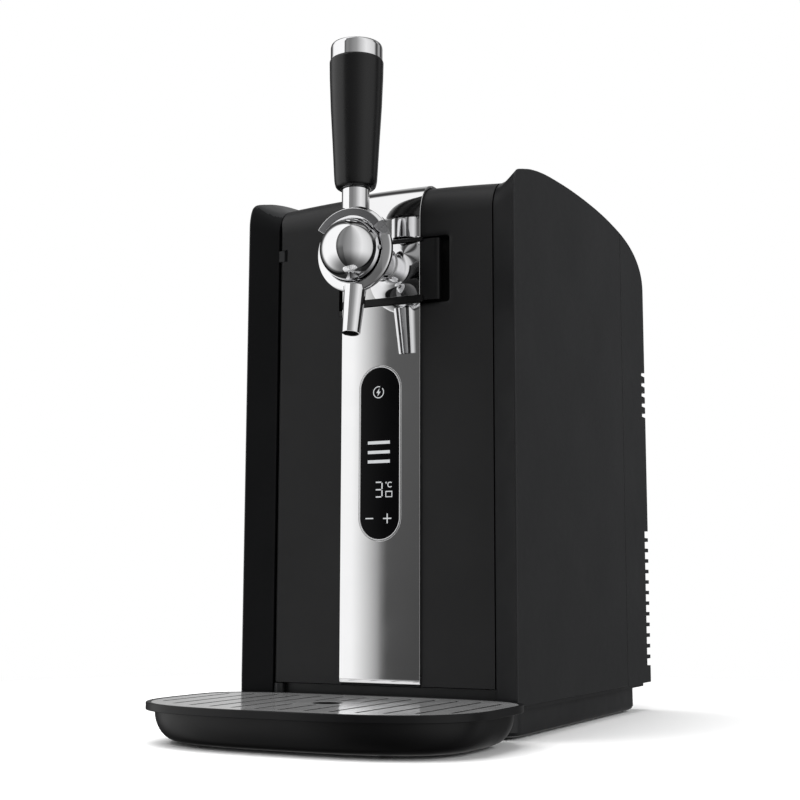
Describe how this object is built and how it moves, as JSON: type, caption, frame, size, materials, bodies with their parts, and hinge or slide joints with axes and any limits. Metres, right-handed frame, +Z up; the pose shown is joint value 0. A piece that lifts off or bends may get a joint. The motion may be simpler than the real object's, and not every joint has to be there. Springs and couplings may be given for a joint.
{
  "type": "mini keg beer dispenser",
  "caption": "Counter-top dispenser for a mini keg: slanted black housing, chrome strip with display window, swing-out tap with a tall handle, slotted drip tray in front.",
  "frame": {"origin": "middle of the bounding box on the resting plane under the feet", "axes": "+Z up, -Y towards the user who faces the tap, +X to that user's right"},
  "size_m": [0.2946, 0.5476, 0.5895],
  "materials": {
    "satin_black": "satin black moulded plastic",
    "door_black": "satin black moulded plastic, slightly lighter",
    "gloss_black": "glossy black",
    "chrome": "polished",
    "steel": "brushed",
    "aluminium": "plain",
    "rubber": "matt black",
    "grip_black": "semi-matt black",
    "cabinet_grey": "plain grey",
    "circuit_board": "green laminate",
    "ceramic": "white ceramic",
    "hose": "translucent grey"
  },
  "bodies": {
    "housing": {"side_panel_left": "satin_black", "side_panel_right": "satin_black", "rear_housing": "satin_black", "roof_cover": "door_black", "roof_strip": "chrome", "base_pan": "satin_black", "front_sill": "satin_black", "foot_front_left": "rubber", "foot_front_right": "rubber", "foot_rear_left": "rubber", "foot_rear_right": "rubber", "hinge_pin_lower": "steel", "hinge_pin_upper": "steel", "cabinet": "cabinet_grey", "keg_seat": "satin_black", "cold_plate": "aluminium", "thermoelectric_module": "ceramic", "heat_sink": "aluminium", "fan_frame": "satin_black", "power_supply": "steel", "control_board": "circuit_board", "air_pump": "satin_black", "air_coupling": "satin_black", "air_hose": "hose", "mains_inlet": "gloss_black", "latch_pin": "steel", "latch_spring": "steel"},
    "front_door": {"door_panel": "door_black", "door_liner": "cabinet_grey", "door_seal": "rubber", "strip_lower": "chrome", "strip_upper": "chrome", "display_bezel": "chrome", "display_window": "gloss_black", "display_board": "circuit_board", "gate_pocket": "satin_black", "gate_pin": "steel", "door_striker": "steel"},
    "tap_gate": {"gate_frame": "satin_black", "gate_plate": "chrome", "tap_cup": "chrome", "tap_spout": "chrome"},
    "plunger": {"pinch_plunger": "rubber"},
    "tap_lever": {"tap_ball": "chrome", "ball_axle": "steel", "lever_yoke": "chrome", "lever_stem": "chrome", "handle_grip": "grip_black", "handle_cap": "chrome"},
    "button": {"release_button": "grip_black"},
    "latch": {"latch_hook": "steel"},
    "fan": {"fan_rotor": "satin_black"},
    "drip_tray": {"tray_bowl": "satin_black", "tray_rim": "satin_black", "tray_foot_front_left": "rubber", "tray_foot_front_right": "rubber", "tray_foot_rear_left": "rubber", "tray_foot_rear_right": "rubber"},
    "grille": {"tray_grille": "steel"}
  },
  "joints": [
    {"name": "door_hinge", "type": "hinge", "parent": "housing", "child": "front_door", "pos_m": [-0.1009, -0.08495, 0.0407], "axis": [0, 0, -1], "range_deg": [0, 90]},
    {"name": "gate_hinge", "type": "hinge", "parent": "front_door", "child": "tap_gate", "pos_m": [-0.035, -0.08585, 0.3675], "axis": [0, 0, -1], "range_deg": [0, 55]},
    {"name": "lever_hinge", "type": "hinge", "parent": "tap_gate", "child": "tap_lever", "pos_m": [0, -0.14625, 0.405], "axis": [1, 0, 0], "range_deg": [0, 45]},
    {"name": "plunger_slide", "type": "slide", "parent": "tap_gate", "child": "plunger", "axis": [0, 0.1691, 0.9856], "range_m": [0, 0.0025]},
    {"name": "button_slide", "type": "slide", "parent": "housing", "child": "button", "axis": [0, 0, -1], "range_m": [0, 0.003], "stiffness_N_per_m": 400, "springref_m": -0.003},
    {"name": "latch_hinge", "type": "hinge", "parent": "housing", "child": "latch", "pos_m": [0, -0.02725, 0.4575], "axis": [-1, 0, 0], "range_deg": [0, 6], "deforming": ["latch_spring"]},
    {"name": "fan_spin", "type": "hinge", "parent": "housing", "child": "fan", "pos_m": [0, 0.18975, 0.275], "axis": [0, 1, 0], "continuous": true},
    {"name": "tray_slide", "type": "slide", "parent": "housing", "child": "drip_tray", "axis": [0, -1, 0], "range_m": [0, 0.2]},
    {"name": "grille_lift", "type": "slide", "parent": "drip_tray", "child": "grille", "axis": [0, 0, 1], "range_m": [0, 0.06]}
  ],
  "couplings": [
    {"joint": "plunger_slide", "follows": "lever_hinge", "m_per_rad": 0.00318},
    {"joint": "latch_hinge", "follows": "button_slide", "rad_per_m": 32.2}
  ]
}
